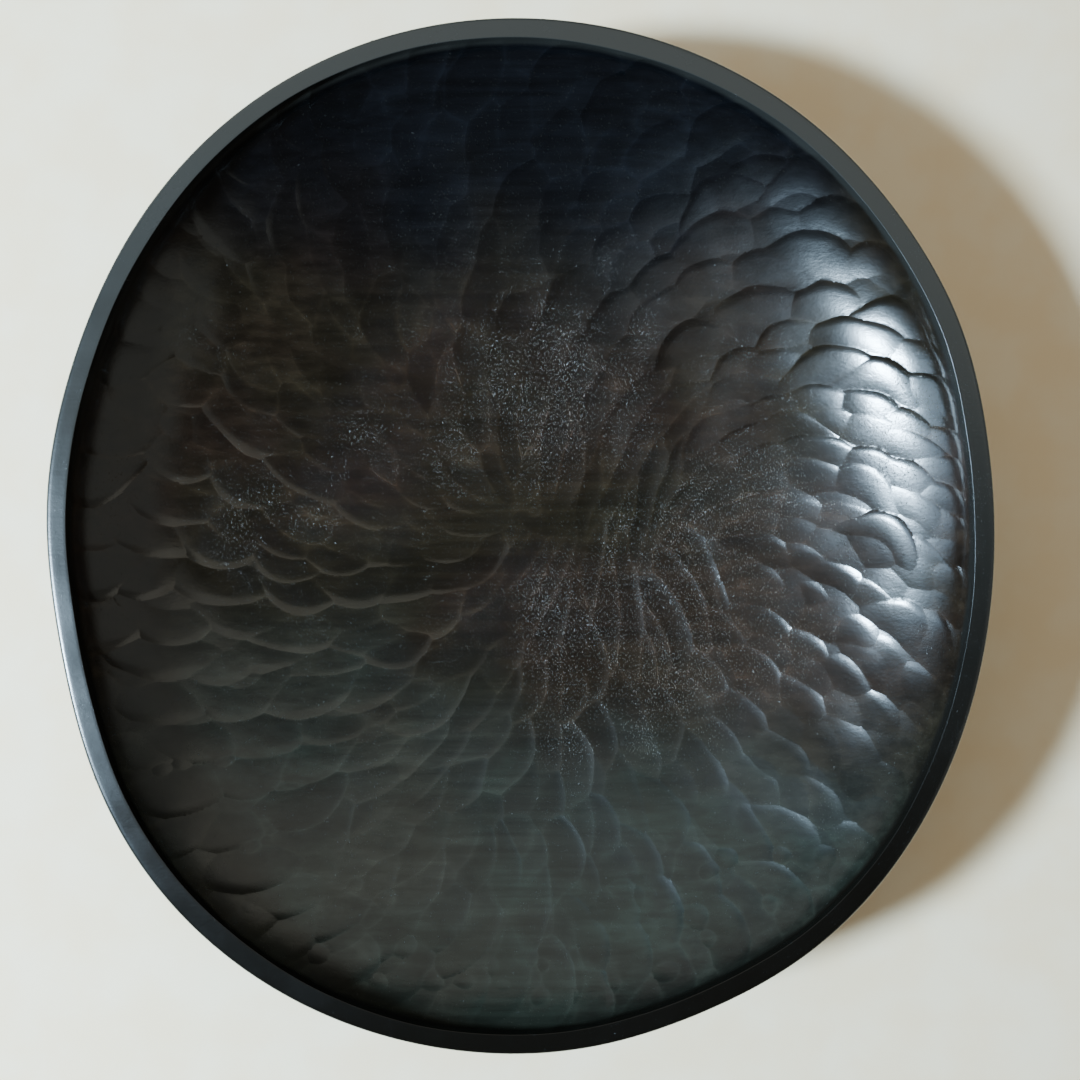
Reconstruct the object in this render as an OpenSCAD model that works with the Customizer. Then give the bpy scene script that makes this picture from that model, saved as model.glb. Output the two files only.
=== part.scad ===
// A shallow wooden bowl, carved by hand from one block, with a flat rim and gouge cuts all over its hollow.
// Millimetres. Z points up. The origin is the middle of the outline, on the surface that the foot rests on.

/* [Overall size] */
// Width over the rim, along X
bowl_w = 400; // [250:1:450]
// Length over the rim, along Y
bowl_l = 437; // [250:1:480]
// Height from the foot to the top of the rim
bowl_h = 80; // [60:1:120]

/* [Outline of the rim] */
// Share by which the outline is longer than its mean along its long axis
long_share = 0.0436; // [0:0.001:0.1]
// Direction of the long axis, from +X
long_dir = 88.5; // [70:0.5:110]
// Share of the three-sided, egg-like part of the outline
egg_share = 0.004; // [0:0.001:0.02]
// Direction of one of the egg's three corners
egg_dir = -15; // [-60:1:60]
// Share of the four-sided, squarish part of the outline
square_share = 0.0063; // [0:0.0005:0.02]
// Direction of one of the four soft corners
square_dir = 42; // [0:1:90]

/* [Rim] */
// Width of the rim seen from above, with its softened outer edge
rim_w = 8.5; // [5:0.5:14]
// Size of the softened outer edge of the rim
rim_edge = 1.2; // [0.6:0.1:2.5]
// Height of the plain strip under the inner edge of the rim
collar_h = 5; // [2:0.5:8]
// How far the plain strip leans inwards over its height
collar_lean = 1; // [0.5:0.1:3]

/* [Hollow] */
// Thickness of the wood under the middle of the hollow
floor_t = 13; // [9:0.5:20]
// Flatness of the bottom of the hollow
floor_flatness = 2.4; // [2:0.1:3]
// Fullness of the wall of the hollow: less makes it steeper at the rim
wall_fullness = 0.75; // [0.65:0.01:0.85]

/* [Gouge cuts] */
// Number of rings of gouge cuts between the middle and the rim
cut_rings = 10; // [4:1:10]
// Depth of a gouge cut below the ridges round it
cut_depth = 1; // [0.2:0.1:1.2]
// How far a cut and its ridges stray, as a share of their spacing
cut_stray = 0.22; // [0:0.01:0.3]

/* [Outer wall] */
// Width of the foot, as a share of the width over the rim
foot_share = 0.45; // [0.3:0.01:0.55]
// Flatness of the underside towards the foot
under_flatness = 1.6; // [1.4:0.1:2.2]
// Fullness of the outer wall: less makes it steeper at the rim
outer_fullness = 0.58; // [0.5:0.01:0.64]

/* [Hidden] */

// Where the hand-cut outline leaves its smooth curve: direction, share outwards and spread in degrees.
FLATS_AND_SWELLS = [
    [196, -0.0123, 12],
    [291, -0.0084, 8.5],
    [174, 0.0083, 10],
    [26, 0.0071, 8],
];

// The hollow's points lie on rings, and ring m has SECTORS * m of them, so that they are evenly spread.
SECTORS = 12;
// Two rings of points make one ring of cuts. The bottoms of the cuts are every second point of every second
// ring, and the points between them are on the ridges.
POINT_RINGS = 2 * cut_rings;
RIM_POINTS = SECTORS * POINT_RINGS;
// The outer wall has half as many points round as the rim.
WALL_POINTS = RIM_POINTS / 2;
WALL_RINGS = 10;
// The wall's rings are closer together near the rim, where it bends most.
WALL_CROWDING = 1.5;
// Depth below the foot to which the uncut body reaches, before the foot is planed flat.
WASTE = 2;
// Height of the widest edge, where the outer wall starts.
WALL_TOP = bowl_h - rim_edge;
// The wall goes on into the waste on the same curve, so its last ring is this much further in than the foot.
WASTE_REACH = pow((WALL_TOP + WASTE) / WALL_TOP, 1 / outer_fullness);
// Height at which the carved hollow meets the plain strip.
HOLLOW_TOP = bowl_h - collar_h;
// Shares of the way out at which the hollow's slope is measured, and beyond which it isn't.
SLOPE_STEP = 0.01;
STEEPEST = 0.985;
// The last ring of the hollow is the foot of the plain strip, and the rings after it have as many points.
FOOT_OF_STRIP = lattice_index(POINT_RINGS, 0);
INNER_EDGE = FOOT_OF_STRIP + RIM_POINTS;
OUTER_EDGE = INNER_EDGE + RIM_POINTS;
WIDEST_EDGE = OUTER_EDGE + RIM_POINTS;
FIRST_OF_WALL = WIDEST_EDGE + RIM_POINTS;
LAST_OF_WALL = FIRST_OF_WALL + (WALL_RINGS - 1) * WALL_POINTS;
STRAY_SEED = 7;
SHIFT_SEED = 11;
DEPTH_SEED = 19;
STRAY_ROUND = rands(-1, 1, FOOT_OF_STRIP, STRAY_SEED);
STRAY_OUT = rands(-1, 1, FOOT_OF_STRIP, SHIFT_SEED);
DEPTH_SHARE = rands(0.6, 1.25, FOOT_OF_STRIP, DEPTH_SEED);

BLACK_WOOD = [0.10, 0.10, 0.10];

// Angle from one direction to another, between -180 and 180 degrees.
function turn(from, to) = (to - from + 540) % 360 - 180;

// The items of a list added up.
function sum(list) = list * [for (item = list) 1];

// Radius of the outline in a direction, as a share of its mean radius.
function outline_share(dir) =
    1
    + long_share * cos(2 * (dir - long_dir))
    + egg_share * cos(3 * (dir - egg_dir))
    + square_share * cos(4 * (dir - square_dir))
    + sum([for (mark = FLATS_AND_SWELLS) mark[1] * exp(-pow(turn(mark[0], dir) / mark[2], 2) / 2)]);

function unit_outline(dir) = outline_share(dir) * [cos(dir), sin(dir)];

// The box of the unit outline, from which its middle and its size come.
OUTLINE_POINTS = [for (step = [0:RIM_POINTS - 1]) unit_outline(360 * step / RIM_POINTS)];
OUTLINE_LOW = [for (axis = [0, 1]) min([for (p = OUTLINE_POINTS) p[axis]])];
OUTLINE_HIGH = [for (axis = [0, 1]) max([for (p = OUTLINE_POINTS) p[axis]])];
OUTLINE_MIDDLE = (OUTLINE_LOW + OUTLINE_HIGH) / 2;
OUTLINE_SIZE = OUTLINE_HIGH - OUTLINE_LOW;
MEAN_R = (bowl_w / OUTLINE_SIZE[0] + bowl_l / OUTLINE_SIZE[1]) / 2;

// The outline at full size. Its box is bowl_w by bowl_l, with its middle at the origin.
function outline(dir) =
    let (p = unit_outline(dir) - OUTLINE_MIDDLE)
    [p[0] * bowl_w / OUTLINE_SIZE[0], p[1] * bowl_l / OUTLINE_SIZE[1]];

// The outline drawn inwards by a width, in millimetres.
function inset_outline(dir, width) = outline(dir) * (1 - width / norm(outline(dir)));

// Number of a point of the hollow: ring 0 is the middle, and a step past a ring's end starts it again.
function lattice_index(ring, step) =
    ring == 0 ? 0 : 1 + SECTORS * ring * (ring - 1) / 2 + step % (SECTORS * ring);

// Height of the hollow's surface before the gouge cuts it, at a share of the way out to the plain strip.
function hollow_z(share) =
    HOLLOW_TOP - (HOLLOW_TOP - floor_t) * pow(1 - pow(min(share, 1), floor_flatness), wall_fullness);

// Steepness of that surface. It would be upright at the plain strip, so it is measured only up to STEEPEST.
function hollow_tilt(share) =
    let (s = min(max(share, SLOPE_STEP), STEEPEST))
    atan((hollow_z(s + SLOPE_STEP) - hollow_z(s - SLOPE_STEP)) / (2 * SLOPE_STEP * MEAN_R));

// One point of the hollow: the bottom of a cut lies below the surface, and a ridge point lies on it.
function hollow_point(ring, step) =
    let (
        number = lattice_index(ring, step),
        inside = ring < POINT_RINGS && ring > 0,
        around = inside ? cut_stray * STRAY_ROUND[number] : 0,
        outwards = inside ? cut_stray * STRAY_OUT[number] : 0,
        dir = ring == 0 ? 0 : 360 * (step + around) / (SECTORS * ring),
        share = (ring + outwards) / POINT_RINGS,
        is_bottom = ring < POINT_RINGS && ring % 2 == 0 && step % 2 == 0,
        drop = is_bottom ? cut_depth * DEPTH_SHARE[number] : 0,
        tilt = hollow_tilt(share),
        p = share * inset_outline(dir, rim_w + collar_lean)
    )
    [
        p[0] + drop * sin(tilt) * cos(dir),
        p[1] + drop * sin(tilt) * sin(dir),
        hollow_z(share) - drop * cos(tilt)
    ];

// A ring of evenly turned points, drawn in from the outline, at one height.
function level_ring(count, width, z) =
    [for (step = [0:count - 1]) let (p = inset_outline(360 * step / count, width)) [p[0], p[1], z]];

// A ring of the outer wall. Ring 0 would be the rim, and the last ring lies in the waste below the foot.
function wall_ring(ring) =
    let (
        part = WASTE_REACH * pow(ring / WALL_RINGS, WALL_CROWDING) * (1 - pow(foot_share, under_flatness)),
        share = pow(1 - part, 1 / under_flatness),
        drop = pow(ring / WALL_RINGS, WALL_CROWDING * outer_fullness) * (WALL_TOP + WASTE)
    )
    [
        for (step = [0:WALL_POINTS - 1])
            let (p = share * outline(360 * step / WALL_POINTS))
            [p[0], p[1], WALL_TOP - drop]
    ];

// Two triangles for each step round between two rings with the same number of points.
function strip(inner, outer, count) = [
    for (step = [0:count - 1])
        let (next = (step + 1) % count)
        each [
            [inner + step, inner + next, outer + next],
            [inner + step, outer + next, outer + step]
        ]
];

// Three triangles for each two steps of a ring that meets a ring of half as many points.
function halving_strip(fine, coarse, count) = [
    for (step = [0:count / 2 - 1])
        let (
            middle = fine + 2 * step + 1,
            far = fine + (2 * step + 2) % count,
            near_out = coarse + step,
            far_out = coarse + (step + 1) % (count / 2)
        )
        each [
            [fine + 2 * step, middle, near_out],
            [middle, far_out, near_out],
            [middle, far, far_out]
        ]
];

// The triangles of the hollow, sector by sector between each ring and the next.
function hollow_faces() = [
    for (ring = [1:POINT_RINGS], sector = [0:SECTORS - 1])
        each concat(
            [
                for (step = [0:ring - 1])
                    [
                        lattice_index(ring - 1, sector * (ring - 1) + step),
                        lattice_index(ring, sector * ring + step + 1),
                        lattice_index(ring, sector * ring + step)
                    ]
            ],
            [
                for (step = [0:1:ring - 2])
                    [
                        lattice_index(ring - 1, sector * (ring - 1) + step),
                        lattice_index(ring - 1, sector * (ring - 1) + step + 1),
                        lattice_index(ring, sector * ring + step + 1)
                    ]
            ]
        )
];

// The whole carved body: hollow, plain strip, flat rim, softened edge and outer wall, down into the waste.
module carved_body() {
    points = concat(
        [for (ring = [0:POINT_RINGS], step = [0:max(0, SECTORS * ring - 1)]) hollow_point(ring, step)],
        level_ring(RIM_POINTS, rim_w, bowl_h),
        level_ring(RIM_POINTS, rim_edge, bowl_h),
        level_ring(RIM_POINTS, 0, WALL_TOP),
        [for (ring = [1:WALL_RINGS]) each wall_ring(ring)]
    );
    faces = concat(
        hollow_faces(),
        strip(FOOT_OF_STRIP, INNER_EDGE, RIM_POINTS),
        strip(INNER_EDGE, OUTER_EDGE, RIM_POINTS),
        strip(OUTER_EDGE, WIDEST_EDGE, RIM_POINTS),
        halving_strip(WIDEST_EDGE, FIRST_OF_WALL, RIM_POINTS),
        [
            for (first = [FIRST_OF_WALL:WALL_POINTS:LAST_OF_WALL - 1])
                each strip(first, first + WALL_POINTS, WALL_POINTS)
        ],
        [[for (step = [0:WALL_POINTS - 1]) LAST_OF_WALL + step]]
    );
    polyhedron(points = points, faces = faces, convexity = 4);
}

// Everything below the surface that the bowl stands on.
module waste_below_foot() {
    translate([-bowl_w, -bowl_l, -2 * WASTE])
        cube([2 * bowl_w, 2 * bowl_l, 2 * WASTE]);
}

// The bowl is one piece of wood: the carved body with its foot planed flat.
module bowl() {
    color(BLACK_WOOD)
        difference() {
            carved_body();
            waste_below_foot();
        }
}

bowl();
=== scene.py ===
import math

import bpy
import numpy as np
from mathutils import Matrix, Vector


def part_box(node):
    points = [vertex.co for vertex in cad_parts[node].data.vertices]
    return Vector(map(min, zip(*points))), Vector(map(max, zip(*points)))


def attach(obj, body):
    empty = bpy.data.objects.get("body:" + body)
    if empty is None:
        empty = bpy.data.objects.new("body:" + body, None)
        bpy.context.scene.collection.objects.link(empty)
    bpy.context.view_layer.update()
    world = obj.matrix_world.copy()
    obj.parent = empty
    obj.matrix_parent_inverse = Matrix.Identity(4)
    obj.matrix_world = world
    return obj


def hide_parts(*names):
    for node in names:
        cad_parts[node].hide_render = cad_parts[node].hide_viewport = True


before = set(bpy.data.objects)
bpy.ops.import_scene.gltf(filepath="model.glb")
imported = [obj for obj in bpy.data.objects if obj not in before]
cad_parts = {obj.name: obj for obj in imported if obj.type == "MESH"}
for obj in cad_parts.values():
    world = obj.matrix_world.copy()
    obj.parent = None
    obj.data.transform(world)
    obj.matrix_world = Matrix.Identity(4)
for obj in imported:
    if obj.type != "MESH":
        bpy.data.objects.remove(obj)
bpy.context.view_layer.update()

# ---------------------------------------------------------------------------- sizes, in millimetres

MM = 0.001
BOX_LOW, BOX_HIGH = (np.array(corner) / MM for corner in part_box("bowl"))
WIDTH, LENGTH, HEIGHT = BOX_HIGH - BOX_LOW

# The outline: share of the mean radius and direction in degrees of its two-, three- and four-sided parts.
LONG = (0.0436, 88.5)
EGG = (0.004, -15)
SQUARE = (0.0063, 42)
# Where the hand-cut outline leaves its smooth curve: direction, share outwards and spread in degrees.
FLATS_AND_SWELLS = [(196, -0.0123, 12), (291, -0.0084, 8.5), (174, 0.0083, 10), (26, 0.0071, 8)]

RIM_WIDTH = 8.5
COLLAR_HEIGHT = 5.0
COLLAR_LEAN = 1.0
FLOOR_THICKNESS = 13.0
FLOOR_FLATNESS = 2.4
WALL_FULLNESS = 0.75
FOOT_SHARE = 0.45
UNDER_FLATNESS = 1.6
OUTER_FULLNESS = 0.58
HOLLOW_TOP = HEIGHT - COLLAR_HEIGHT

# Mesh: points of the hollow lie about this far apart, on rings whose number of points doubles on the way out.
RING_STEP = 1.1
FEWEST_ROUND = 19
MOST_ROUND = FEWEST_ROUND * 2**6
# Points at which a curve is read to measure it.
FINE_SHARES = np.linspace(0, 1, 4001)


def turn(start, end):
    """Angle from one direction to another in degrees, between -180 and 180."""
    return (end - start + 540) % 360 - 180


def unit_outline(direction):
    """Points of the outline in a direction, in shares of its mean radius."""
    radius = 1 + sum(
        share * np.cos(np.radians(sides * (direction - axis)))
        for sides, (share, axis) in zip((2, 3, 4), (LONG, EGG, SQUARE))
    )
    for place, swell, spread in FLATS_AND_SWELLS:
        radius = radius + swell * np.exp(-((turn(place, direction) / spread) ** 2) / 2)
    angle = np.radians(direction)
    return np.stack([radius * np.cos(angle), radius * np.sin(angle)], -1)


FINE_ROUND = unit_outline(np.arange(0, 360, 0.25))
OUTLINE_SIZE = np.ptp(FINE_ROUND, axis=0)
OUTLINE_MIDDLE = FINE_ROUND.min(0) + OUTLINE_SIZE / 2
OUTLINE_SCALE = np.array([WIDTH, LENGTH]) / OUTLINE_SIZE
MEAN_RADIUS = OUTLINE_SCALE.mean()


def outline(direction, inset=0.0):
    """Points of the rim's outline, drawn inwards by inset millimetres."""
    points = (unit_outline(direction) - OUTLINE_MIDDLE) * OUTLINE_SCALE
    return points * (1 - inset / np.linalg.norm(points, axis=-1))[..., None]


COLLAR_INSET = RIM_WIDTH + COLLAR_LEAN
COLLAR = outline(np.arange(0, 360, 0.5), COLLAR_INSET)
COLLAR_ANGLE = np.degrees(np.arctan2(COLLAR[:, 1], COLLAR[:, 0])) % 360
COLLAR = COLLAR[np.argsort(COLLAR_ANGLE)]
COLLAR_ANGLE.sort()
COLLAR_RADIUS = np.linalg.norm(COLLAR, axis=1)


def share_out(x, y):
    """How far out a point of the hollow lies: 0 in the middle and 1 at the foot of the collar."""
    angle = np.degrees(np.arctan2(y, x)) % 360
    return np.hypot(x, y) / np.interp(angle, COLLAR_ANGLE, COLLAR_RADIUS, period=360)


def hollow_height(share):
    """Height of the hollow before the last gouge strokes."""
    inside = np.clip(share, 0, 1)
    return HOLLOW_TOP - (HOLLOW_TOP - FLOOR_THICKNESS) * (1 - inside**FLOOR_FLATNESS) ** WALL_FULLNESS


def smooth(low, high, value):
    t = np.clip((value - low) / (high - low), 0, 1)
    return t * t * (3 - 2 * t)


def bump(x, y, middle, spread):
    """1 at a place, falling to nothing round it."""
    return np.exp(-((x - middle[0]) ** 2 + (y - middle[1]) ** 2) / (2 * spread**2))


# The roughing-out left the hollow uneven: a few long waves, each with its length, direction and phase.
UNEVEN = 0.5
UNEVEN_WAVES = [(61, 20, 0.5), (83, 115, 2.1), (47, 70, 4.0), (55, 160, 5.3), (39, 35, 1.2)]
# The waves fade out between these shares of the way out.
UNEVEN_FADE = (0.85, 1)


def unevenness(x, y, share):
    total = 0
    for length, way, phase in UNEVEN_WAVES:
        ahead = x * math.cos(math.radians(way)) + y * math.sin(math.radians(way))
        total = total + np.sin(2 * np.pi * ahead / length + phase)
    return UNEVEN * total / len(UNEVEN_WAVES) * (1 - smooth(*UNEVEN_FADE, share))


def hollow_surface(x, y):
    share = share_out(x, y)
    return hollow_height(share) + unevenness(x, y, share)


# ------------------------------------------------------------------------------------ gouge strokes

# The strokes run at half the sum of the bearings from two poles, plus a slow turn across the bowl. That gives
# nested arcs round the right-hand pole, upright rows between the poles and rows that fan out to the rim.
RIGHT_POLE = (84, 0)
LEFT_POLE = (-9, 16)
# The slow turn follows from the way that the strokes run at these places: x, y and direction in degrees.
GUIDES = [
    (30, 0, 75), (30, 60, 70), (30, -50, 85), (-50, 0, 165), (-120, 0, 155), (-185, 0, 0), (130, 0, 165),
    (180, 0, 135), (0, 100, 70), (0, 190, 45), (0, -100, 75), (0, -190, 70), (75, 75, 40), (135, 135, 165),
    (-75, 75, 110), (-130, 135, 125), (75, -75, 120), (135, -135, 120), (-75, -75, 15), (-130, -135, 5),
]
# The turn is a cubic across the bowl, and at the guides it lies within 90 degrees of this.
MIDDLE_TURN = -35
CUBIC_TERMS = [(i, j) for i in range(4) for j in range(4 - i)]


def pole_direction(x, y):
    """Half the sum of the bearings from the two poles, in degrees."""
    bearings = [math.degrees(math.atan2(y - pole[1], x - pole[0])) for pole in (RIGHT_POLE, LEFT_POLE)]
    return sum(bearings) / 2


def cubic(x, y):
    across, along = x / (WIDTH / 2), y / (LENGTH / 2)
    return np.array([across**i * along**j for i, j in CUBIC_TERMS])


def guide_turn(x, y, way):
    """How far the strokes turn away from the poles' direction at a guide, in degrees."""
    return (way - pole_direction(x, y) - MIDDLE_TURN + 90) % 180 - 90 + MIDDLE_TURN


GUIDE_TERMS = np.array([cubic(x, y) for x, y, _ in GUIDES])
GUIDE_TURNS = np.array([guide_turn(*guide) for guide in GUIDES])
SLOW_TURN = np.linalg.lstsq(GUIDE_TERMS, GUIDE_TURNS, rcond=None)[0]


def stroke_direction(x, y):
    """Direction of the strokes at a point, in radians. A stroke and its reverse are the same."""
    return math.radians(pole_direction(x, y) + float(cubic(x, y) @ SLOW_TURN))


def unit(angle):
    return np.array([math.cos(angle), math.sin(angle)])


# The rows are narrow between the poles and broad towards the rim: widths of a row, and between which
# distances from the middle they grow. Distances along X count for less there, by the stretch.
NARROWEST_ROW, BROADEST_ROW = 12.5, 18.0
BETWEEN_POLES = np.add(RIGHT_POLE, LEFT_POLE) / 2
WIDENING, MIDDLE_STRETCH = (20, 115), 1.2
# Under the right-hand wall the rows are tighter again: place, spread, and share of the width lost.
TIGHT_PLACE, TIGHT_SPREAD, TIGHTER = (160, 5), 52, 0.24
# Areas where the carver left the surface calmer: place, spread and how much of the relief is gone.
CALMER = [
    ((-95, 95), 72, 0.55), ((-20, -135), 75, 0.50), ((-10, 175), 60, 0.45),
    ((148, -78), 44, 0.40), ((105, 130), 42, 0.35), ((92, -118), 50, 0.50),
]


def row_width(x, y):
    away = math.hypot((x - BETWEEN_POLES[0]) / MIDDLE_STRETCH, y - BETWEEN_POLES[1])
    width = NARROWEST_ROW + (BROADEST_ROW - NARROWEST_ROW) * float(smooth(*WIDENING, away))
    return width * (1 - TIGHTER * float(bump(x, y, TIGHT_PLACE, TIGHT_SPREAD)))


def relief(x, y):
    calm = 1.0
    for place, spread, lost in CALMER:
        calm *= 1 - lost * float(bump(x, y, place, spread))
    return calm


SLOPE_STEP = 0.5


def surface_slope(x, y):
    """The two slopes of the hollow at a point."""
    step = SLOPE_STEP
    near = hollow_surface(np.array([x + step, x - step, x, x]), np.array([y, y, y + step, y - step]))
    return (near[0] - near[1]) / (2 * step), (near[2] - near[3]) / (2 * step)


def normal_at(slope):
    """The direction straight out of a surface that has these two slopes."""
    normal = np.array([-slope[0], -slope[1], 1.0])
    return normal / np.linalg.norm(normal)


def on_surface(x, y):
    return np.array([x, y, float(hollow_surface(x, y))])


def is_near(point, others, distance):
    return len(others) > 0 and np.min(np.sum((np.asarray(others) - point) ** 2, 1)) < distance**2


# A row is traced in these steps, and it ends at the rim or where it comes this near to another row or to
# itself, in row widths. Its own last points don't count for that.
ROW_STEP = 2.0
MOST_STEPS = 240
LAST_SHARE = 0.995
CLOSEST_ROWS = 0.55
CLOSEST_SELF, OWN_TAIL = 0.8, 8
# Rows start about a row's width to both sides of every third point of the rows before them.
FIRST_START = (38.0, 2.0)
CLOSEST_START = 0.93
START_EVERY = 3
FEWEST_POINTS = 4


def trace_row(start, placed):
    """Follows the stroke direction both ways from a point, until the rim or another row is too near."""
    halves = []
    for side in (1, -1):
        x, y = start
        before = unit(stroke_direction(x, y)) * side
        points = []
        for _ in range(MOST_STEPS):
            ahead = unit(stroke_direction(x, y))
            ahead *= 1 if ahead @ before > 0 else -1
            before = ahead
            run = ROW_STEP / math.hypot(1, ahead @ surface_slope(x, y))
            x, y = x + ahead[0] * run, y + ahead[1] * run
            if share_out(x, y) > LAST_SHARE:
                break
            here = on_surface(x, y)
            width = row_width(x, y)
            too_near = is_near(here, placed, CLOSEST_ROWS * width)
            if too_near or is_near(here, points[:-OWN_TAIL], CLOSEST_SELF * width):
                break
            points.append(here)
        halves.append(points)
    return np.array(halves[1][::-1] + [on_surface(*start)] + halves[0])


def trace_rows():
    """Rows of strokes over the whole hollow, each about a row's width from the last."""
    rows, placed, queue = [], np.empty((0, 3)), [FIRST_START]
    while queue:
        start = queue.pop(0)
        if share_out(*start) > LAST_SHARE:
            continue
        if is_near(on_surface(*start), placed, CLOSEST_START * row_width(*start)):
            continue
        row = trace_row(start, placed)
        if len(row) < FEWEST_POINTS:
            continue
        rows.append(row)
        placed = np.concatenate([placed, row])
        for x, y, _ in row[::START_EVERY]:
            across = unit(stroke_direction(x, y) + math.pi / 2)
            run = row_width(x, y) / math.hypot(1, across @ surface_slope(x, y))
            queue += [(x + across[0] * run, y + across[1] * run), (x - across[0] * run, y - across[1] * run)]
    return rows


# The number of no cut.
UNCUT = -1


class Cuts:
    """Cuts of a tool. Each is deepest along its middle, and its bed is round along and across the stroke,
    with a steeper radius on its far side and a flatter one on its near side. It bends sideways by bend times
    the square of the distance along it, so that its far edge is a scallop."""

    def __init__(self):
        self.rows = []

    def add(self, middle, along, normal, depth, length_radius, steep_radius, flat_radius, bend, reach):
        along = along - normal * (along @ normal)
        along = along / np.linalg.norm(along)
        aside = np.cross(normal, along)
        sizes = depth, length_radius, steep_radius, flat_radius, bend, reach
        self.rows.append((*middle, *along, *aside, *sizes))

    def settle(self):
        table = np.array(self.rows)
        self.middle, self.along, self.aside = table[:, 0:3], table[:, 3:6], table[:, 6:9]
        self.depth, self.length_radius, self.steep_radius, self.flat_radius = table[:, 9:13].T
        self.bend, self.reach = table[:, 13:].T

    def local(self, points, numbers):
        """Distances along and across the bent stroke, and the radius across it there."""
        offset = points - self.middle[numbers]
        u = np.sum(offset * self.along[numbers], -1)
        v = np.sum(offset * self.aside[numbers], -1) + self.bend[numbers] * u**2
        return u, v, np.where(v > 0, self.steep_radius[numbers], self.flat_radius[numbers])

    def depth_at(self, points, numbers):
        u, v, radius = self.local(points, numbers)
        round_off = u**2 / (2 * self.length_radius[numbers]) + v**2 / (2 * radius)
        return np.where(numbers == UNCUT, 0.0, self.depth[numbers] - round_off)

    def slope_at(self, points, numbers, normals):
        """How fast a cut deepens along the surface, as a vector."""
        u, v, radius = self.local(points, numbers)
        across = v / radius
        ahead = u / self.length_radius[numbers] + across * 2 * self.bend[numbers] * u
        slope = -ahead[:, None] * self.along[numbers] - across[:, None] * self.aside[numbers]
        slope[numbers == UNCUT] = 0
        return slope - np.sum(slope * normals, 1)[:, None] * normals


# Each stroke's sizes lie between these: its length in row widths, its radii across on its far side and on its
# near side, its radius along, and its bend. The extra depth has a mean and a spread.
STROKE_LENGTH = (1.15, 1.95)
STEEP_RADIUS = (14, 23)
FLAT_RADIUS = (95, 160)
LENGTH_RADIUS = (240, 520)
BEND = (0.006, 0.030)
EXTRA_DEPTH = (0.10, 0.09)
# The first stroke of a row lies this far from the row's start, and the last one may pass its end.
FIRST_STROKE, PAST_END = (0, 12), 5
# How far strokes stray: in direction, in radians, and sideways, in row widths, singly and as a whole row.
STRAY_TURN, STRAY_ASIDE, STRAY_ROW = 0.09, 0.09, 0.05
# Between the poles the strokes are longer, steadier and rounder on their near side, by these shares, so that
# they leave long nested arcs, and they don't bend. That changes between these distances from the middle.
LONGER, STEADIER, ROUNDER = 1.5, 0.6, 0.35
MIDDLE_EDGE = (25, 85)
# How far from its middle a stroke may cut, in its own lengths.
STROKE_REACH = 1.9


def add_stroke(cuts, rng, x, y, row_side):
    """Adds one stroke of a row at a point, and returns its length."""
    from_middle = np.array([x, y]) - BETWEEN_POLES
    outward = float(smooth(*MIDDLE_EDGE, np.hypot(*from_middle)))
    longer = 1 + LONGER * (1 - outward)
    stray = 1 - STEADIER * (1 - outward)
    width = row_width(x, y)
    length = width * rng.uniform(*STROKE_LENGTH) * longer
    calm = relief(x, y)
    slope = surface_slope(x, y)
    normal = normal_at(slope)
    along = np.array([*unit(stroke_direction(x, y) + rng.normal(0, STRAY_TURN) * stray), 0.0])
    along *= 1 if along[:2] @ from_middle > 0 else -1
    along[2] = along[:2] @ slope
    aside = (rng.normal(0, STRAY_ASIDE) * stray + row_side) * width
    middle = on_surface(x, y) + np.cross(normal, along / np.linalg.norm(along)) * aside
    steep_radius = rng.uniform(*STEEP_RADIUS) / calm
    flat_radius = rng.uniform(*FLAT_RADIUS) / calm * (1 - ROUNDER * (1 - outward))
    length_radius = rng.uniform(*LENGTH_RADIUS) / calm * longer**2
    bend = outward * rng.uniform(*BEND)
    ridge = width**2 / (2 * (math.sqrt(steep_radius) + math.sqrt(flat_radius)) ** 2)
    depth = ridge + length**2 / (8 * length_radius) + rng.normal(*EXTRA_DEPTH) * calm
    reach = STROKE_REACH * length
    cuts.add(middle, along, normal, depth, length_radius, steep_radius, flat_radius, bend, reach)
    return length


def gouge_cuts(rng):
    cuts = Cuts()
    for row in trace_rows():
        far = np.concatenate([[0], np.cumsum(np.linalg.norm(np.diff(row, axis=0), axis=1))])
        row_side = rng.normal(0, STRAY_ROW)
        at = rng.uniform(*FIRST_STROKE)
        while at < far[-1] + PAST_END:
            x, y = (np.interp(at, far, row[:, axis]) for axis in (0, 1))
            at += add_stroke(cuts, rng, x, y, row_side)
    return cuts


# Directions between which the dimples lie, and for each ring of them its share of the way out, its spacing
# in degrees and how likely each dimple is.
DIMPLE_SPAN = (212, 318)
DIMPLE_RINGS = [(0.955, 4.6, 0.8), (0.895, 5.0, 0.65), (0.84, 5.4, 0.5)]
# How far a dimple strays, in spacings and in shares of the way out.
DIMPLE_STRAY, DIMPLE_STRAY_OUT = 0.3, 0.018
DIMPLE_RADIUS, DIMPLE_DEPTH = (30, 46), (0.45, 0.75)
DIMPLE_LONG = 1.4
DIMPLE_REACH = 22


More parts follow.
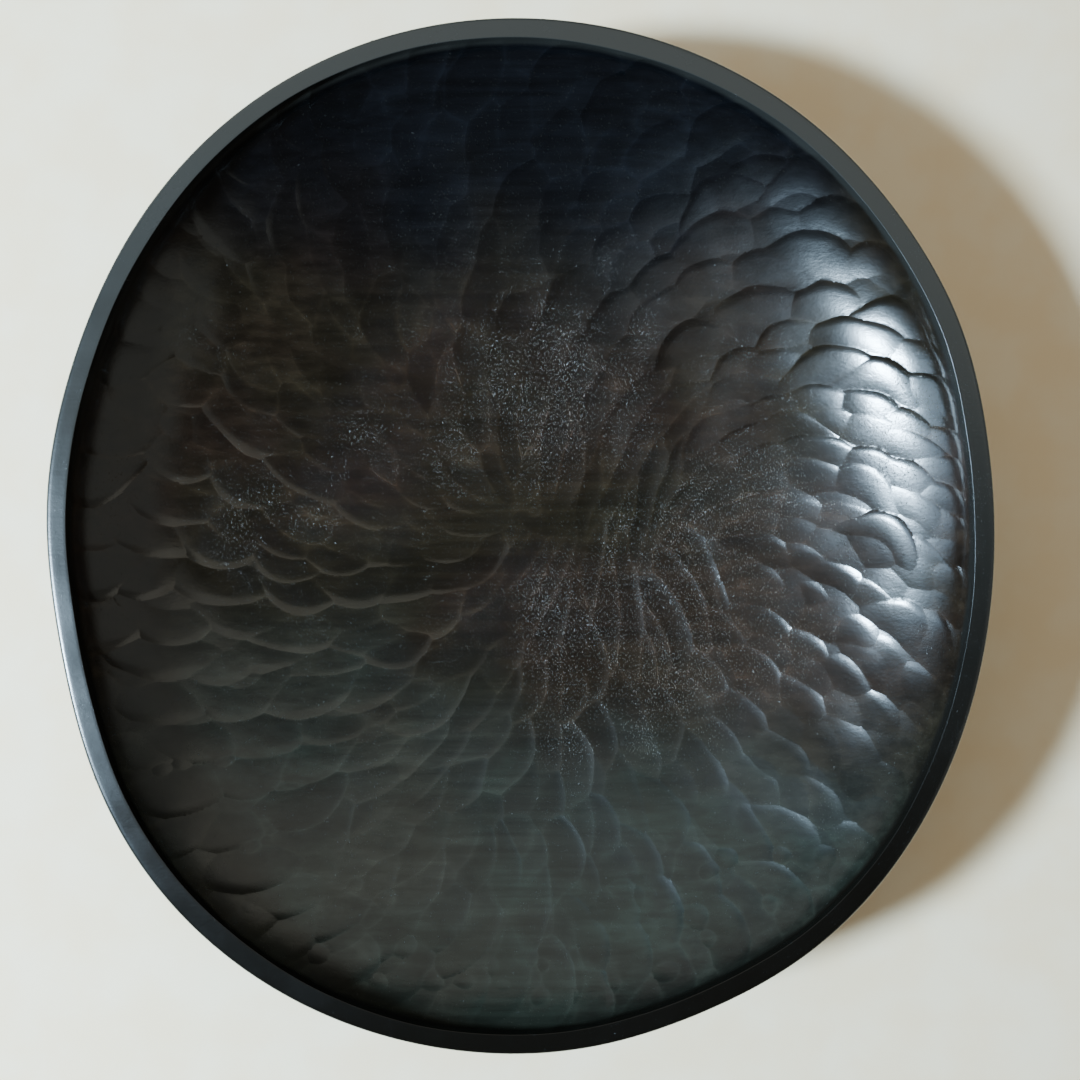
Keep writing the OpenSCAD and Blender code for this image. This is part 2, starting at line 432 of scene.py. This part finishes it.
def rim_dimples(rng, cuts):
    """Small round cuts side by side below the near part of the rim."""
    for ring, (share, step, chance) in enumerate(DIMPLE_RINGS):
        for number in range(int((DIMPLE_SPAN[1] - DIMPLE_SPAN[0]) / step)):
            stray = rng.uniform(-DIMPLE_STRAY, DIMPLE_STRAY)
            way = DIMPLE_SPAN[0] + step * (number + 0.5 * ring + stray)
            place = share + rng.uniform(-DIMPLE_STRAY_OUT, DIMPLE_STRAY_OUT)
            x, y = outline(np.array(way), COLLAR_INSET) * place
            along = np.array([-y, x, 0.0])
            if rng.uniform() < chance:
                radius = rng.uniform(*DIMPLE_RADIUS)
                depth = rng.uniform(*DIMPLE_DEPTH)
                sizes = depth, DIMPLE_LONG * radius, radius, radius, 0.0, DIMPLE_REACH
                cuts.add(on_surface(x, y), along, normal_at(surface_slope(x, y)), *sizes)


# The rings of flat strokes on the outer wall, as shares of the outline, and the width of a stroke.
FLAT_RINGS = (0.985, 0.93, 0.85, 0.76, 0.66, 0.56)
FLAT_WIDTH = 27
# How far a flat stroke strays, in spacings and in shares of the outline.
FLAT_STRAY, FLAT_STRAY_DOWN = 0.2, 0.015
FLAT_LENGTH_RADIUS, FLAT_CROSS_RADIUS, FLAT_DEPTH = (260, 420), (210, 300), (0.25, 0.5)
FLAT_REACH = 32
# Steps down and round the outer wall over which its slopes are read: a share, and degrees.
STEP_DOWN, STEP_ROUND = 0.01, 0.5


def flat_cuts(rng):
    """Broad strokes of a flat tool down the outer wall, in rings that are offset from one another."""
    cuts = Cuts()
    for ring, share in enumerate(FLAT_RINGS):
        count = int(round(2 * math.pi * MEAN_RADIUS * share / FLAT_WIDTH))
        for number in range(count):
            stray = rng.uniform(-FLAT_STRAY, FLAT_STRAY)
            direction = 360 * (number + 0.5 * (ring % 2) + stray) / count
            place = share + rng.uniform(-FLAT_STRAY_DOWN, FLAT_STRAY_DOWN)
            middle = outer_point(np.array(direction), place)
            down = outer_point(np.array(direction), place - STEP_DOWN) - middle
            sideways = outer_point(np.array(direction + STEP_ROUND), place) - middle
            normal = np.cross(down, sideways)
            normal /= np.linalg.norm(normal)
            length_radius = rng.uniform(*FLAT_LENGTH_RADIUS)
            radius = rng.uniform(*FLAT_CROSS_RADIUS)
            depth = rng.uniform(*FLAT_DEPTH)
            cuts.add(middle, down, normal, depth, length_radius, radius, radius, 0.0, FLAT_REACH)
    return cuts


# ---------------------------------------------------------------------------------- carved surfaces

# The ridges waver: each point is read this far from where it is, along smooth waves of these lengths.
WAVER = 0.7
WAVER_LENGTHS = (31, 22, 17)
# The first wave's direction, whose parts the others take in turn, and how much quicker the waver along Y is
# than the one along X.
WAVER_WAY = (0.8, 0.5, 0.33)
WAVER_QUICKER = 1.3


def wavered(points):
    shift = np.zeros_like(points)
    for number, length in enumerate(WAVER_LENGTHS):
        phase = points @ np.roll(WAVER_WAY, number) * 2 * np.pi / length
        shift[:, 0] += np.sin(phase + number)
        shift[:, 1] += np.cos(WAVER_QUICKER * phase - 2 * number)
    return points + WAVER / len(WAVER_LENGTHS) * shift


def carve(points, cuts):
    """At each point, the depth of the deepest cut, the numbers of the deepest and the next deepest cut, and
    by how much the one is deeper than the other."""
    best, second = np.zeros(len(points)), np.full(len(points), -1.0)
    first, other = np.full(len(points), UNCUT), np.full(len(points), UNCUT)
    for number in range(len(cuts.depth)):
        offset = points - cuts.middle[number]
        near = np.nonzero(np.einsum("ij,ij->i", offset, offset) < cuts.reach[number] ** 2)[0]
        value = cuts.depth_at(points[near], number)
        wins = value > best[near]
        won = near[wins]
        second[won], other[won] = best[won], first[won]
        best[won], first[won] = value[wins], number
        passes = ~wins & (value > second[near])
        second[near[passes]], other[near[passes]] = value[passes], number
    return best, first, other, best - second


def slide_to_ridges(points, normals, around, step, cuts):
    """Slides each point that is nearer to a ridge than to its neighbours onto that ridge, which is then
    crisp."""
    seen = wavered(points)
    _, first, other, lead = carve(seen, cuts)
    slope = cuts.slope_at(seen, first, normals) - cuts.slope_at(seen, other, normals)
    outwards = np.cross(normals, around)
    outwards *= (step / np.maximum(np.linalg.norm(outwards, axis=1), 1e-9))[:, None]
    reach = 0.5 * np.maximum(np.abs(np.sum(slope * around, 1)), np.abs(np.sum(slope * outwards, 1)))
    steep = np.sum(slope**2, 1)
    sliding = (lead < reach) & (steep > 1e-8)
    points = points.copy()
    points[sliding] -= (lead[sliding] / steep[sliding])[:, None] * slope[sliding]
    return points


class Ring:
    """One ring of mesh points, and the part of the bowl that it belongs to."""

    def __init__(self, count, points, zone):
        self.count, self.points, self.zone = count, points, zone


def directions(count):
    return np.arange(count) * 360 / count


def evenly_along(shares, heights, step):
    """Shares of the way out at which a surface's rings lie, so that they are a step apart along its slope."""
    length = np.concatenate([[0], np.cumsum(np.hypot(np.diff(shares) * MEAN_RADIUS, np.diff(heights)))])
    count = int(round(length[-1] / step))
    return np.interp(np.linspace(0, length[-1], count + 1), length, shares)


def hollow_rings():
    """Rings of the hollow from near its middle to the foot of the collar."""
    made = []
    for s in evenly_along(FINE_SHARES, hollow_height(FINE_SHARES), RING_STEP)[1:]:
        count = FEWEST_ROUND
        while count < MOST_ROUND and 2 * math.pi * MEAN_RADIUS * s / count > RING_STEP:
            count *= 2
        flat = outline(directions(count), COLLAR_INSET) * s
        uneven = unevenness(flat[:, 0], flat[:, 1], np.full(count, s))
        made.append(Ring(count, np.column_stack([flat, hollow_height(s) + uneven]), "hollow"))
    return made


# The collar and the rim in section: inset from the outline, and depth below the rim's top.
COLLAR_SECTION = [(9.35, 4.0), (9.2, 3.0), (9.0, 2.0), (8.85, 1.1)]
RIM_SECTION = [
    (8.8, 0.3), (8.74, 0.08), (8.55, 0.0), (7.4, 0.0), (6.2, 0.0), (5.0, 0.0), (3.8, 0.0),
    (2.6, 0.01), (1.8, 0.05), (1.2, 0.18), (0.72, 0.42), (0.34, 0.8), (0.1, 1.35),
]
# The inner edge of the rim wanders a little, because it was cut by eye: waves round it, size and phase.
RIM_WANDER = [(2, 0.45, 90), (5, 0.22, 30), (7, 0.16, 200), (11, 0.12, 80), (23, 0.07, 10)]
# It dies out across the rim towards the outer edge, between these insets, and down the collar, between
# these depths.
WANDER_INSETS, WANDER_DEPTHS = (1.5, 8.5), (5.0, 3.0)


def rim_rings():
    around = directions(MOST_ROUND)
    wander = sum(size * np.cos(np.radians(waves * around - phase)) for waves, size, phase in RIM_WANDER)
    made = []
    for zone, section in (("hollow", COLLAR_SECTION), ("rim", RIM_SECTION)):
        for inset, depth in section:
            flat = outline(around, inset)
            inward = float(smooth(*WANDER_INSETS, inset) * smooth(*WANDER_DEPTHS, depth)) * wander
            flat = flat * (1 - inward / np.linalg.norm(flat, axis=1))[:, None]
            made.append(Ring(MOST_ROUND, np.column_stack([flat, np.full(MOST_ROUND, HEIGHT - depth)]), zone))
    return made


# The outer wall starts at the foot of the rim's softened edge.
OUTER_TOP = HEIGHT - 1.9


def outer_height(share):
    low = 1 - FOOT_SHARE**UNDER_FLATNESS
    part = np.clip((1 - np.asarray(share, float) ** UNDER_FLATNESS) / low, 0, None)
    return OUTER_TOP * (1 - part**OUTER_FULLNESS)


def outer_point(direction, share):
    flat = outline(direction) * np.asarray(share)[..., None]
    return np.concatenate([flat, np.broadcast_to(outer_height(share), flat.shape[:-1])[..., None]], -1)


OUTER_STEP = 2.2
OUTER_ROUND = MOST_ROUND // 2


def outer_rings():
    """Rings of the outer wall from the rim down to the foot."""
    fine = 1 - (1 - FOOT_SHARE) * FINE_SHARES**2
    around = directions(OUTER_ROUND)
    shares = evenly_along(fine, outer_height(fine), OUTER_STEP)[:-1]
    return [Ring(OUTER_ROUND, outer_point(around, np.full(OUTER_ROUND, s)), "outer") for s in shares]


# The foot's softened edge: share of the foot's width, and height.
FOOT_SECTION = [(1.004, 0.55), (0.999, 0.16), (0.99, 0.0)]
# The flat part's outermost ring and the limit of its innermost one, as shares, and how far apart they lie.
FOOT_EDGE, FOOT_MIDDLE = 0.96, 0.03
FOOT_STEP = 4.0


def foot_rings():
    """Rings of the flat foot, from its softened edge to its middle."""
    radius = MEAN_RADIUS * FOOT_SHARE
    flat_part = [(s, 0.0) for s in np.arange(FOOT_EDGE, FOOT_MIDDLE, -FOOT_STEP / radius)]
    made, count = [], OUTER_ROUND
    for share, z in FOOT_SECTION + flat_part:
        while count > FEWEST_ROUND and 2 * math.pi * radius * share / count < OUTER_STEP / 2:
            count //= 2
        flat = outline(directions(count)) * FOOT_SHARE * share
        made.append(Ring(count, np.column_stack([flat, np.full(count, z)]), "foot"))
    return made


# ----------------------------------------------------------------------------------------- the mesh


def level_cells(count, inner, outer):
    """Four-sided cells between two rings with the same number of points."""
    here = np.arange(count)
    there = (here + 1) % count
    return np.column_stack([inner + here, outer + here, outer + there, inner + there])


def doubling_faces(coarse_count, coarse, fine, inwards):
    """Triangles between a ring and one with twice as many points."""
    here = np.arange(coarse_count)
    there = (here + 1) % coarse_count
    start, middle, end = 2 * here, 2 * here + 1, (2 * here + 2) % (2 * coarse_count)
    faces = np.concatenate([
        np.column_stack([coarse + here, fine + start, fine + middle]),
        np.column_stack([coarse + here, fine + middle, coarse + there]),
        np.column_stack([coarse + there, fine + middle, fine + end]),
    ])
    return faces[:, ::-1] if inwards else faces


def fan(count, middle, ring, inwards):
    here = np.arange(count)
    faces = np.column_stack([np.full(count, middle), ring + here, ring + (here + 1) % count])
    return faces[:, ::-1] if inwards else faces


def smooth_normals(points, faces):
    """Normals at the points, from the triangles round each."""
    corners = points[faces]
    across = np.cross(corners[:, 1] - corners[:, 0], corners[:, 2] - corners[:, 0])
    total = np.zeros_like(points)
    for corner in range(3):
        np.add.at(total, faces[:, corner], across)
    return total / np.maximum(np.linalg.norm(total, axis=1), 1e-12)[:, None]


def split_cells(cells, lead):
    """Cuts each cell in two along the diagonal that is nearer to a ridge."""
    turned = lead[cells[:, 1]] + lead[cells[:, 3]] < lead[cells[:, 0]] + lead[cells[:, 2]]
    a, b, c, d = np.where(turned[:, None], np.roll(cells, -1, axis=1), cells).T
    return np.concatenate([np.column_stack([a, b, c]), np.column_stack([a, c, d])])


def face_cuts(points, faces, first, other, cuts):
    """The cut whose bed each triangle lies on: of those at its corners, the deepest at its middle."""
    choices = np.concatenate([first[faces], other[faces]], axis=1)
    middles = points[faces].mean(1)
    depths = np.stack([cuts.depth_at(middles, choices[:, k]) for k in range(6)], 1)
    return choices[np.arange(len(faces)), np.argmax(depths, 1)]


# Where the cuts fade out below the rim's inner edge, as depths below the rim's top.
FADE = (0.8, 3.5)
# How much of its neighbour's direction a worn ridge shows, and how far that reaches, as a difference in depth
# between the two cuts.
WEAR, WEAR_DEPTH = 0.25, 0.02


def bowl_surface():
    """The whole carved bowl: points, triangles, corner normals, each point's nearness to a ridge, and how
    torn each triangle's cut left the wood, from 0 to 1."""
    rng = np.random.default_rng(20)
    rings = hollow_rings() + rim_rings() + outer_rings() + foot_rings()
    starts = 1 + np.concatenate([[0], np.cumsum([ring.count for ring in rings])])
    points = np.concatenate([[on_surface(0.0, 0.0)]] + [ring.points for ring in rings] + [[[0.0, 0.0, 0.0]]])
    zones = np.concatenate([["hollow"]] + [[ring.zone] * ring.count for ring in rings] + [["foot"]])
    around = np.zeros_like(points)
    for ring, start in zip(rings, starts):
        around[start:start + ring.count] = (np.roll(ring.points, -1, 0) - np.roll(ring.points, 1, 0)) / 2

    cells, faces = [], [fan(rings[0].count, 0, 1, False)]
    for inner, outer, start, after in zip(rings, rings[1:], starts, starts[1:]):
        if inner.count == outer.count:
            cells.append(level_cells(inner.count, start, after))
        elif inner.count < outer.count:
            faces.append(doubling_faces(inner.count, start, after, False))
        else:
            faces.append(doubling_faces(outer.count, after, start, True))
    faces.append(fan(rings[-1].count, len(points) - 1, starts[-2], True))
    cells, faces = np.concatenate(cells), np.concatenate(faces)
    normals = smooth_normals(points, np.concatenate([faces, split_cells(cells, np.zeros(len(points)))]))

    cuts = gouge_cuts(rng)
    rim_dimples(rng, cuts)
    inside = len(cuts.rows)
    cuts.rows += flat_cuts(rng).rows
    cuts.settle()
    carved = (zones == "hollow") | (zones == "outer")
    step = np.where(zones == "hollow", RING_STEP, OUTER_STEP)
    points[carved] = slide_to_ridges(points[carved], normals[carved], around[carved], step[carved], cuts)
    depth, lead = np.zeros(len(points)), np.ones(len(points))
    first, other = np.full(len(points), UNCUT), np.full(len(points), UNCUT)
    seen = wavered(points)
    depth[carved], first[carved], other[carved], lead[carved] = carve(seen[carved], cuts)
    faces = np.concatenate([faces, split_cells(cells, lead)])

    fade = np.where(zones == "hollow", smooth(*FADE, HEIGHT - points[:, 2]), 1.0)
    cut = points - normals * (depth * fade)[:, None]
    own = face_cuts(seen, faces, first, other, cuts)
    torn = rng.uniform(size=len(cuts.depth))[own]
    corners, own = faces.ravel(), np.repeat(own, 3)
    slope = cuts.slope_at(seen[corners], own, normals[corners])
    rival = np.where(first[corners] == own, other[corners], first[corners])
    other_slope = cuts.slope_at(seen[corners], rival, normals[corners])
    worn = WEAR * np.exp(-lead[corners] / WEAR_DEPTH)[:, None]
    faced = normals[corners] + ((1 - worn) * slope + worn * other_slope) * fade[corners][:, None]
    plain = ~carved[corners] | (fade[corners] < 1)
    faced[plain] = smooth_normals(cut, faces)[corners[plain]]
    return cut, faces, faced / np.linalg.norm(faced, axis=1)[:, None], lead, torn


# How fast the look of a worn ridge fades beside it, as a difference in depth between the two cuts.
RIDGE_FADE = 0.12


def make_bowl():
    points, faces, corner_normals, lead, torn = bowl_surface()
    mesh = bpy.data.meshes.new("carved_bowl")
    mesh.vertices.add(len(points))
    mesh.vertices.foreach_set("co", (points * MM).astype(np.float32).ravel())
    mesh.loops.add(faces.size)
    mesh.loops.foreach_set("vertex_index", faces.astype(np.int32).ravel())
    mesh.polygons.add(len(faces))
    mesh.polygons.foreach_set("loop_start", np.arange(0, faces.size, 3, dtype=np.int32))
    mesh.update(calc_edges=True)
    mesh.polygons.foreach_set("use_smooth", np.ones(len(faces), bool))
    mesh.normals_split_custom_set(corner_normals)
    ridge = mesh.attributes.new("ridge", "FLOAT", "POINT")
    ridge.data.foreach_set("value", np.exp(-lead / RIDGE_FADE).astype(np.float32))
    mesh.attributes.new("torn", "FLOAT", "FACE").data.foreach_set("value", torn.astype(np.float32))
    bowl = bpy.data.objects.new("carved_bowl", mesh)
    bpy.context.scene.collection.objects.link(bowl)
    return bowl


# ---------------------------------------------------------------------------------------- materials


class Nodes:
    """Short ways to add and join the nodes of one material."""

    def __init__(self, name):
        self.material = bpy.data.materials.new(name)
        self.material.use_nodes = True
        self.tree = self.material.node_tree
        self.shader = self.tree.nodes["Principled BSDF"]

    def add(self, kind, inputs=None, **settings):
        node = self.tree.nodes.new(kind)
        for name, value in settings.items():
            setattr(node, name, value)
        for key, value in (inputs or {}).items():
            if isinstance(value, bpy.types.NodeSocket):
                self.tree.links.new(value, node.inputs[key])
            else:
                node.inputs[key].default_value = value
        return node

    def place(self, scale=(1, 1, 1)):
        source = self.add("ShaderNodeTexCoord").outputs["Object"]
        return self.add("ShaderNodeMapping", {"Vector": source, "Scale": scale}).outputs[0]

    def attribute(self, name):
        return self.add("ShaderNodeAttribute", attribute_name=name).outputs["Fac"]

    def noise(self, scale, stretch, detail, roughness):
        return self.add(
            "ShaderNodeTexNoise",
            {"Vector": self.place(stretch), "Scale": scale, "Detail": detail, "Roughness": roughness},
        ).outputs["Fac"]

    def ramp(self, value, low, high, to_low=0.0, to_high=1.0):
        return self.add(
            "ShaderNodeMapRange",
            {"Value": value, "From Min": low, "From Max": high, "To Min": to_low, "To Max": to_high},
            interpolation_type="SMOOTHSTEP",
        ).outputs[0]

    def math(self, operation, a, b=0.0):
        return self.add("ShaderNodeMath", {0: a, 1: b}, operation=operation).outputs[0]

    def mix(self, factor, a, b, kind="MIX"):
        node = self.tree.nodes.new("ShaderNodeMix")
        node.data_type, node.blend_type = "RGBA", kind
        for number, value in ((0, factor), (6, a), (7, b)):
            if isinstance(value, bpy.types.NodeSocket):
                self.tree.links.new(value, node.inputs[number])
            else:
                node.inputs[number].default_value = value
        return node.outputs[2]

    def tint(self, colour, shade):
        """A colour made lighter or darker by a number."""
        return self.mix(1.0, colour, shade, "MULTIPLY")

    def join(self, value, socket):
        self.tree.links.new(value, self.shader.inputs[socket])


# Colours of the stained wood, of the dust in its pores and of its rim, in linear light. The blue-black one is
# painted shade at the far end of the hollow, and the grey and teal ones are a painted sheen at its near end.
PAINTED_SHADE_BLUE_BLACK = (0.0016, 0.0018, 0.0024, 1)
BROWN_BLACK = (0.0072, 0.0052, 0.0027, 1)
RED_BLACK = (0.0086, 0.0048, 0.0030, 1)
PAINTED_SHEEN_GREY_BLACK = (0.0102, 0.0098, 0.0070, 1)
PAINTED_SHEEN_TEAL_BLACK = (0.0074, 0.0098, 0.0074, 1)
DEEP_BLACK = (0.0038, 0.0040, 0.0030, 1)
# The light colour in the pores: dust, and painted glints.
GLINTS_AND_DUST_COLOUR = (0.0560, 0.0500, 0.0380, 1)
# The rim: lighter grey at the far end as a painted reflection, darker at the near end as painted shade.
RIM_NEAR_PAINTED_SHADE = (0.0022, 0.0018, 0.0012, 1)
RIM_FAR_PAINTED_REFLECTION = (0.0190, 0.0188, 0.0168, 1)
# Patterns: scale in cells to the metre, how it changes along X, Y and Z, detail, and roughness.
BORDER = (9, (1, 1, 1), 3, 0.5)
MOTTLE = (26, (1, 1, 1), 5, 0.62)
PATCHES = (11, (1, 1.4, 1), 3, 0.5)
STREAKS = (95, (0.09, 1.9, 1.9), 4, 0.65)
SPECKS = (2500, (1.0, 0.42, 0.6), 2, 0.6)
CROWDING = (20, (1.0, 0.7, 1.0), 4, 0.5)
FUZZ = (850, (0.6, 1.0, 1.0), 3, 0.7)
GRAIN = (30, (1, 1, 1), 3, 0.5)
# Where the painted shade of the far end and the painted sheen of the near end fade in along Y, and how far
# these borders stray.
FAR_END, NEAR_END = (0.085, 0.19), (-0.03, -0.11)
BORDER_STRAY = 0.035
# Where the rim fades in along Z, and where its colour, a painted reflection at the far end and painted shade
# at the near end, and its gloss change along Y.
RIM_FOOT, RIM_PAINTED_LIGHT_ENDS, RIM_GLOSS_ENDS = (0.0735, 0.0765), (-0.16, 0.16), (-0.17, 0.0)
# How much darker and lighter the streaks and the single cuts make the stain.
STREAK_SHADES, CUT_SHADES = (0.7, 1.6), (0.85, 1.2)
# The most that deep black clouds the painted sheen at the near end, that dust and painted glints fill the
# pores and that wear lightens a ridge.
CLOUDED, GLINTS_AND_DUST_SHARE, WORN = 0.85, 0.6, 0.9
# The pores are thickest round this place. How much more or less crowded they are near it and away from it,
# between two distances, in cuts that left the wood smooth or torn, and at the two ends.
PORE_MIDDLE = (0.06, -0.01, 0.02)
PORE_DISTANCES, CROWDED_NEAR, CROWDED_AWAY = (0.05, 0.24), 0.04, -0.13
CROWDED_TORN, LESS_AT_ENDS, MOST_CROWDED = 0.05, 0.10, 0.10
# Roughness of the waxed wood, and what the near end, the pores and the two ends of the rim add to it.
WAXED, NEAR_ADDS, PORES_ADD, RIM_ADDS = (0.15, 0.21), 0.10, 0.07, (0.05, 0.07)
# Relief of the fuzz and the streaks as shares of a pore's depth, that depth in metres, and its strength.
FUZZ_SHARE, STREAKS_SHARE, PORE_DEPTH, STRENGTH = 0.4, 0.5, 0.00010, 0.8


class BlackWood(Nodes):
    """Open-pored wood, stained black by hand and waxed. Its fibres run along X in fine streaks, and the cut
    ends of its pores are short dashes along Y."""

    def __init__(self):
        super().__init__("black_wood")
        _, self.y, self.z = self.add("ShaderNodeSeparateXYZ", {"Vector": self.place()}).outputs
        self.torn = self.attribute("torn")
        self.mottle = self.noise(*MOTTLE)
        self.streaks = self.noise(*STREAKS)
        stray = self.ramp(self.noise(*BORDER), 0.3, 0.7, -BORDER_STRAY, BORDER_STRAY)
        along = self.math("ADD", self.y, stray)
        self.far_end = self.ramp(along, *FAR_END)
        self.near_end = self.ramp(along, *NEAR_END)
        self.on_rim = self.ramp(self.z, *RIM_FOOT)
        self.pores = self.pore_pattern()
        self.join(self.colour(), "Base Color")
        self.join(self.roughness(), "Roughness")
        self.join(self.bumps(), "Normal")
        self.shader.inputs["IOR"].default_value = 1.5

    def pore_pattern(self):
        """1 in a pore and 0 beside it. Pores are thick in some places and rare in others."""
        distance = self.add("ShaderNodeVectorMath", {0: self.place(), 1: PORE_MIDDLE}, operation="DISTANCE")
        away = self.ramp(distance.outputs["Value"], *PORE_DISTANCES, CROWDED_NEAR, CROWDED_AWAY)
        torn = self.ramp(self.torn, 0.0, 1.0, -CROWDED_TORN, CROWDED_TORN)
        ends = self.ramp(self.math("MAXIMUM", self.far_end, self.near_end), 0.0, 1.0, 0.0, LESS_AT_ENDS)
        crowding = self.math("ADD", self.math("ADD", self.noise(*CROWDING), away), torn)
        crowded = self.ramp(self.math("SUBTRACT", crowding, ends), 0.34, 0.72, 0.0, MOST_CROWDED)
        return self.ramp(self.math("ADD", self.noise(*SPECKS), crowded), 0.68, 0.78)

    def stain_and_painted_light(self):
        """Brown-black staining in the middle, painted shade that makes the far end blue-black, and a painted
        sheen that makes the near end a cloudy grey-green.
        """
        patches = self.noise(*PATCHES)
        tone = self.mix(self.ramp(patches, 0.35, 0.65), BROWN_BLACK, RED_BLACK)
        # Painted shade: the far end is darkened to blue-black.
        tone = self.mix(self.far_end, tone, PAINTED_SHADE_BLUE_BLACK)
        # Painted sheen: the near end is lightened to grey and teal, clouded by deep black.
        grey = self.mix(self.ramp(patches, 0.38, 0.6), PAINTED_SHEEN_GREY_BLACK, PAINTED_SHEEN_TEAL_BLACK)
        cloudy = self.mix(self.ramp(self.mottle, 0.38, 0.62, 0, CLOUDED), grey, DEEP_BLACK)
        tone = self.mix(self.near_end, tone, cloudy)
        tone = self.tint(tone, self.ramp(self.streaks, 0.3, 0.75, *STREAK_SHADES))
        return self.tint(tone, self.ramp(self.torn, 0.0, 1.0, *CUT_SHADES))

    def colour(self):
        # The pores take a light colour: dust, and painted glints.
        tone = self.mix(self.math("MULTIPLY", self.pores, GLINTS_AND_DUST_SHARE), self.stain_and_painted_light(), GLINTS_AND_DUST_COLOUR)
        worn = self.math("MULTIPLY", self.attribute("ridge"), self.ramp(self.mottle, 0.35, 0.6, 0.0, WORN))
        tone = self.tint(tone, self.math("ADD", worn, 1.0))
        # Painted reflection and shade: the rim goes from dark at its near end to grey at its far end.
        rim = self.mix(self.ramp(self.y, *RIM_PAINTED_LIGHT_ENDS), RIM_NEAR_PAINTED_SHADE, RIM_FAR_PAINTED_REFLECTION)
        return self.mix(self.on_rim, tone, rim)

    def roughness(self):
        in_hollow = self.math("SUBTRACT", 1.0, self.on_rim)
        near = self.math("MULTIPLY", self.math("MULTIPLY", self.near_end, in_hollow), NEAR_ADDS)
        rim = self.math("MULTIPLY", self.on_rim, self.ramp(self.y, *RIM_GLOSS_ENDS, *RIM_ADDS))
        rough = self.math("ADD", self.ramp(self.mottle, 0.3, 0.7, *WAXED), near)
        rough = self.math("ADD", rough, self.math("MULTIPLY", self.pores, PORES_ADD))
        return self.math("ADD", rough, rim)

    def bumps(self):
        fuzz = self.math("MULTIPLY", self.noise(*FUZZ), FUZZ_SHARE)
        height = self.math("ADD", self.math("MULTIPLY", self.pores, -1.0), fuzz)
        height = self.math("ADD", height, self.math("MULTIPLY", self.streaks, STREAKS_SHARE))
        sizes = {"Strength": STRENGTH, "Distance": PORE_DEPTH, "Height": height}
        return self.add("ShaderNodeBump", sizes).outputs[0]


PAPER_TONES = (0.96, 0.74, 0.47, 1), (0.98, 0.80, 0.55, 1)


def paper():
    n = Nodes("paper")
    n.join(n.mix(n.ramp(n.noise(*GRAIN), 0.3, 0.7), *PAPER_TONES), "Base Color")
    n.shader.inputs["Roughness"].default_value = 0.8
    return n.material


# ---------------------------------------------------------------------------------------- the scene


# Lights: name, place, size, power in watts, and colour. All are aimed at the middle of the bowl.
LIGHTS = [
    ("window", (-1.14, -0.24, 1.12), (0.21, 0.21), 110, (0.56, 0.79, 1.0)),
    ("window_glow", (-1.39, -0.14, 0.92), (0.40, 1.00), 9, (0.52, 0.76, 1.0)),
    ("sky_glow", (-1.82, -0.05, 1.30), (1.0, 1.1), 1.7, (0.70, 0.85, 1.0)),
    ("near_ceiling", (-0.75, -0.10, 1.55), (1.0, 1.0), 1.2, (1.0, 0.97, 0.90)),
    ("ceiling", (0.25, 1.08, 1.57), (3.0, 1.6), 12.5, (1.0, 0.98, 0.84)),
    ("left_wall", (-1.10, 1.25, 0.62), (1.2, 0.8), 2.2, (1.0, 0.97, 0.88)),
    ("far_wall", (1.66, 0.20, 1.10), (2.8, 1.6), 3.6, (0.94, 1.0, 0.92)),
    ("far_wall_middle", (1.68, -0.26, 1.09), (1.4, 1.2), 1.2, (0.94, 1.0, 0.94)),
]
AIM = (0.0, 0.0, 0.05)
ROOM_COLOUR, ROOM_STRENGTH = (1.0, 0.93, 0.82, 1), 0.07


def area_light(name, place, size, power, colour):
    data = bpy.data.lights.new(name, "AREA")
    data.shape = "RECTANGLE"
    data.size, data.size_y = size
    data.energy = power
    data.color = colour
    light = bpy.data.objects.new(name, data)
    light.location = place
    light.rotation_euler = (Vector(AIM) - Vector(place)).to_track_quat("-Z", "Y").to_euler()
    light.visible_camera = False
    bpy.context.scene.collection.objects.link(light)


def light_room():
    for light in LIGHTS:
        area_light(*light)
    world = bpy.data.worlds.new("room")
    world.use_nodes = True
    background = world.node_tree.nodes["Background"]
    background.inputs["Color"].default_value = ROOM_COLOUR
    background.inputs["Strength"].default_value = ROOM_STRENGTH
    bpy.context.scene.world = world


FLOOR_HALF = 3.0
# The floor lies a little below the foot, so that the two flat faces don't meet.
FLOOR_DROP = 0.0003


def make_stage():
    corners = [(x * FLOOR_HALF, y * FLOOR_HALF, 0) for x, y in ((-1, -1), (1, -1), (1, 1), (-1, 1))]
    mesh = bpy.data.meshes.new("floor")
    mesh.from_pydata(corners, [], [(0, 1, 2, 3)])
    floor = bpy.data.objects.new("floor", mesh)
    floor.location.z = -FLOOR_DROP
    floor.data.materials.append(paper())
    bpy.context.scene.collection.objects.link(floor)


# The camera looks straight down, from this far above the rim and a little off the bowl's middle.
CAMERA_ABOVE_RIM = 0.454
CAMERA_ASIDE = (0.0082, -0.0017)
SENSOR = LENS = 36


def make_camera():
    data = bpy.data.cameras.new("camera")
    data.sensor_width = SENSOR
    data.lens = LENS
    camera = bpy.data.objects.new("camera", data)
    camera.location = (*CAMERA_ASIDE, HEIGHT * MM + CAMERA_ABOVE_RIM)
    bpy.context.scene.collection.objects.link(camera)
    bpy.context.scene.camera = camera


make_camera()
make_stage()
light_room()

bowl = make_bowl()
bowl.data.materials.append(BlackWood().material)
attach(bowl, "root")
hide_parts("bowl")
